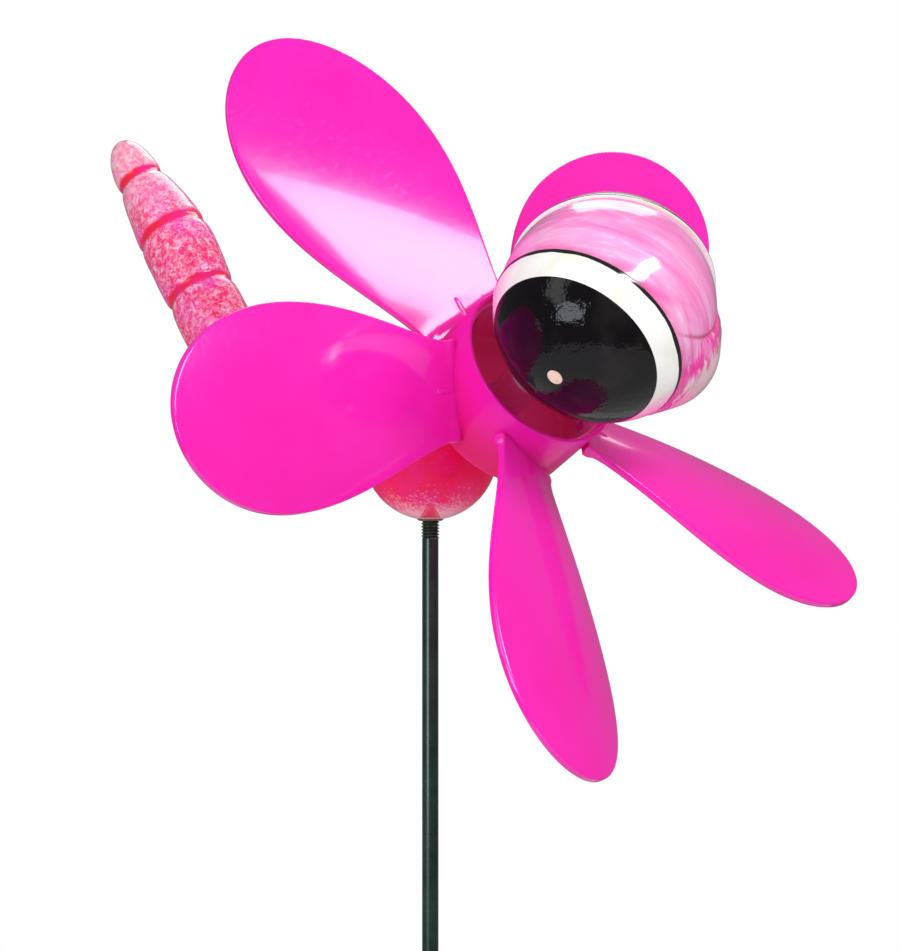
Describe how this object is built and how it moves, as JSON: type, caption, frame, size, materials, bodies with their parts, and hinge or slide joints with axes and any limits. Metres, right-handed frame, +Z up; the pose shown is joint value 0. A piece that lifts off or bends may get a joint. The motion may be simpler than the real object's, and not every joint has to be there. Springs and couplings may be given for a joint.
{
  "type": "pinwheel garden stake",
  "caption": "Dragonfly garden wind spinner: a petal-bladed rotor turns on an axle between a round-eyed head and a curled-tail body on a rod stake.",
  "frame": {"origin": "on the rod's axis at the ground line, where the stake enters the soil", "axes": "+Z up along the rod; the dragonfly and the rotor's front face -Y, and its tail runs to +Y"},
  "size_m": [0.2611, 0.297, 0.744],
  "materials": {
    "rod_paint": "semi-gloss dark green paint",
    "body_resin": "speckled red and pink glossy resin",
    "head_resin": "brushed pale pink glossy resin",
    "rotor_plastic": "glossy magenta",
    "eye_white": "glossy cream",
    "pupil_black": "high gloss black",
    "white_plastic": "natural nylon",
    "brass": "machined",
    "steel": "zinc plated"
  },
  "bodies": {
    "base": {"lower_rod": "rod_paint", "upper_rod": "rod_paint", "rod_coupling": "rod_paint", "body_casting": "body_resin", "body_insert": "brass", "axle": "steel", "axle_anchor": "brass", "spacer": "white_plastic", "rear_washer": "steel", "front_washer": "steel", "axle_retainer": "steel", "head_casting": "head_resin", "head_insert": "brass", "eye_right": "eye_white", "eye_left": "eye_white", "pupil_right": "pupil_black", "pupil_left": "pupil_black"},
    "rotor": {"hub": "rotor_plastic", "rear_bush": "white_plastic", "front_bush": "white_plastic", "blade_1": "rotor_plastic", "blade_2": "rotor_plastic", "blade_3": "rotor_plastic", "blade_4": "rotor_plastic", "blade_5": "rotor_plastic"}
  },
  "joints": [
    {"name": "rotor_spin", "type": "hinge", "parent": "base", "child": "rotor", "pos_m": [0, -0.0404, 0.44864], "axis": [0, -0.8704, 0.4924], "continuous": true}
  ]
}
